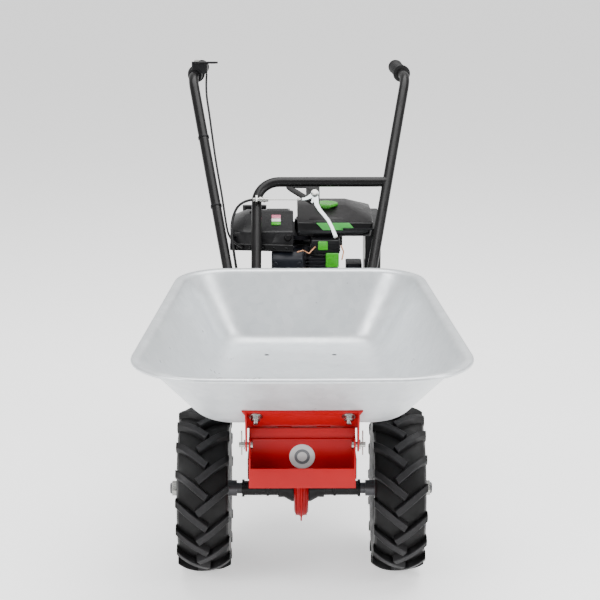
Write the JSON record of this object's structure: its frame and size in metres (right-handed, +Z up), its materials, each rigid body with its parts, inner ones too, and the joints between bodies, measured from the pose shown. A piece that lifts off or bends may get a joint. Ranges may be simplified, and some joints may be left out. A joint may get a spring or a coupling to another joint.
{
  "type": "power wheelbarrow",
  "caption": "Powered wheelbarrow with a galvanised tipping bin, lugged tyres, a red front box and bracket, black handlebar and a petrol engine behind.",
  "frame": {"origin": "middle of the footprint, on the ground", "axes": "+Z up, +Y from the bin lip to the handles, +X across to the right seen from the front"},
  "size_m": [0.616, 1.3434, 0.933],
  "materials": {
    "tyre_rubber": "matt black lugged tyre rubber",
    "galvanised_sheet": "satin galvanised sheet with a soft spangle",
    "red_paint": "glossy red powder coat",
    "black_paint": "semi-gloss black paint",
    "rim_paint": "dark painted wheel rim",
    "zinc_plate": "bright zinc plate",
    "machined_steel": "turned steel",
    "polished_steel": "polished lever",
    "cast_aluminium": "grey die-cast aluminium",
    "bronze": "bronze",
    "black_plastic": "grained black moulding",
    "gloss_black_plastic": "glossy black moulding",
    "green_plastic": "glossy green moulding",
    "soft_rubber": "soft black rubber",
    "white_ceramic": "glazed ceramic",
    "emblem_white": "plain white disc with a grey ring"
  },
  "bodies": {
    "chassis": {"front_box": "red_paint", "gearbox_left_half": "red_paint", "gearbox_right_half": "red_paint", "left_rail": "black_paint", "right_rail": "black_paint", "crossbars": "black_paint", "axle_hangers": "black_paint", "engine_plate": "black_paint", "rear_stand": "black_paint", "arm_mount": "black_paint", "left_handle_tube": "black_paint", "right_handle_tube": "black_paint", "cross_tube": "black_paint", "lever_bracket": "black_paint", "axle_flanges": "black_paint", "axle_tubes": "black_paint", "muffler": "black_paint", "frame_bolts": "zinc_plate", "hinge_pins": "zinc_plate", "r_clips": "zinc_plate", "pivot_bolts": "zinc_plate", "cable_adjuster": "zinc_plate", "crankcase": "cast_aluminium", "cylinder": "cast_aluminium", "carburettor": "cast_aluminium", "bearing_bushes": "bronze", "left_shroud": "black_plastic", "fan_plate": "black_plastic", "tube_clamps": "black_plastic", "fuel_tank": "gloss_black_plastic", "air_filter_box": "green_plastic", "grips": "soft_rubber", "rubber_pads": "soft_rubber", "oil_seals": "soft_rubber", "drive_belt": "soft_rubber", "drive_cable": "soft_rubber", "throttle_cable": "soft_rubber", "spark_plug": "white_ceramic", "emblem": "emblem_white"},
    "drive_axle": {"left_tyre": "tyre_rubber", "right_tyre": "tyre_rubber", "rims": "rim_paint", "hubs": "machined_steel", "wheel_fasteners": "zinc_plate", "axle_shaft": "machined_steel", "worm_wheel": "bronze"},
    "worm_drive": {"worm_shaft": "machined_steel"},
    "engine_crank": {"crankshaft": "machined_steel", "flywheel": "cast_aluminium"},
    "tensioner": {"tensioner_arm": "black_paint"},
    "idler": {"idler_pulley": "black_plastic"},
    "tipping_bin": {"bin": "galvanised_sheet", "tip_bracket": "red_paint", "bin_front_bolts": "zinc_plate", "bin_saddle": "black_paint", "floor_bolts": "zinc_plate"},
    "drive_lever_body": {"drive_lever": "polished_steel"},
    "throttle_lever_body": {"throttle_lever": "black_plastic"},
    "starter_pull_body": {"starter_handle": "black_plastic"},
    "fuel_cap_body": {"fuel_cap": "green_plastic"}
  },
  "joints": [
    {"name": "axle_spin", "type": "hinge", "parent": "chassis", "child": "drive_axle", "pos_m": [0, -0.21172, 0.165], "axis": [1, 0, 0], "continuous": true},
    {"name": "worm_spin", "type": "hinge", "parent": "chassis", "child": "worm_drive", "pos_m": [0, -0.16122, 0.165], "axis": [0, 0, 1], "continuous": true},
    {"name": "crank_spin", "type": "hinge", "parent": "chassis", "child": "engine_crank", "pos_m": [0, 0.38828, 0.45], "axis": [0, 0, 1], "continuous": true},
    {"name": "drive_lever_pull", "type": "hinge", "parent": "chassis", "child": "drive_lever_body", "pos_m": [0.033, 0.28178, 0.6693], "axis": [0, -0.7809, 0.6247], "range_deg": [0, 40]},
    {"name": "tensioner_swing", "type": "hinge", "parent": "chassis", "child": "tensioner", "pos_m": [0.058, 0.11828, 0.311], "axis": [0, 0, -1], "range_deg": [0, 4.5]},
    {"name": "idler_spin", "type": "hinge", "parent": "tensioner", "child": "idler", "pos_m": [0.058, 0.04828, 0.3], "axis": [0, 0, 1], "continuous": true},
    {"name": "bin_tip", "type": "hinge", "parent": "chassis", "child": "tipping_bin", "pos_m": [0, -0.51672, 0.358], "axis": [1, 0, 0], "range_deg": [0, 75]},
    {"name": "throttle_turn", "type": "hinge", "parent": "chassis", "child": "throttle_lever_body", "pos_m": [-0.234, 0.53468, 0.927], "axis": [0, 0, 1], "range_deg": [-5, 40]},
    {"name": "starter_pull", "type": "slide", "parent": "chassis", "child": "starter_pull_body", "axis": [0, 1, 0], "range_m": [0, 0.12], "stiffness_N_per_m": 20},
    {"name": "fuel_cap_turn", "type": "hinge", "parent": "chassis", "child": "fuel_cap_body", "pos_m": [0.06, 0.34828, 0.635], "axis": [0, 0, 1], "range_deg": [0, 90]}
  ],
  "couplings": [
    {"joint": "worm_spin", "follows": "axle_spin", "ratio": -24},
    {"joint": "tensioner_swing", "follows": "drive_lever_pull", "ratio": 0.1}
  ]
}
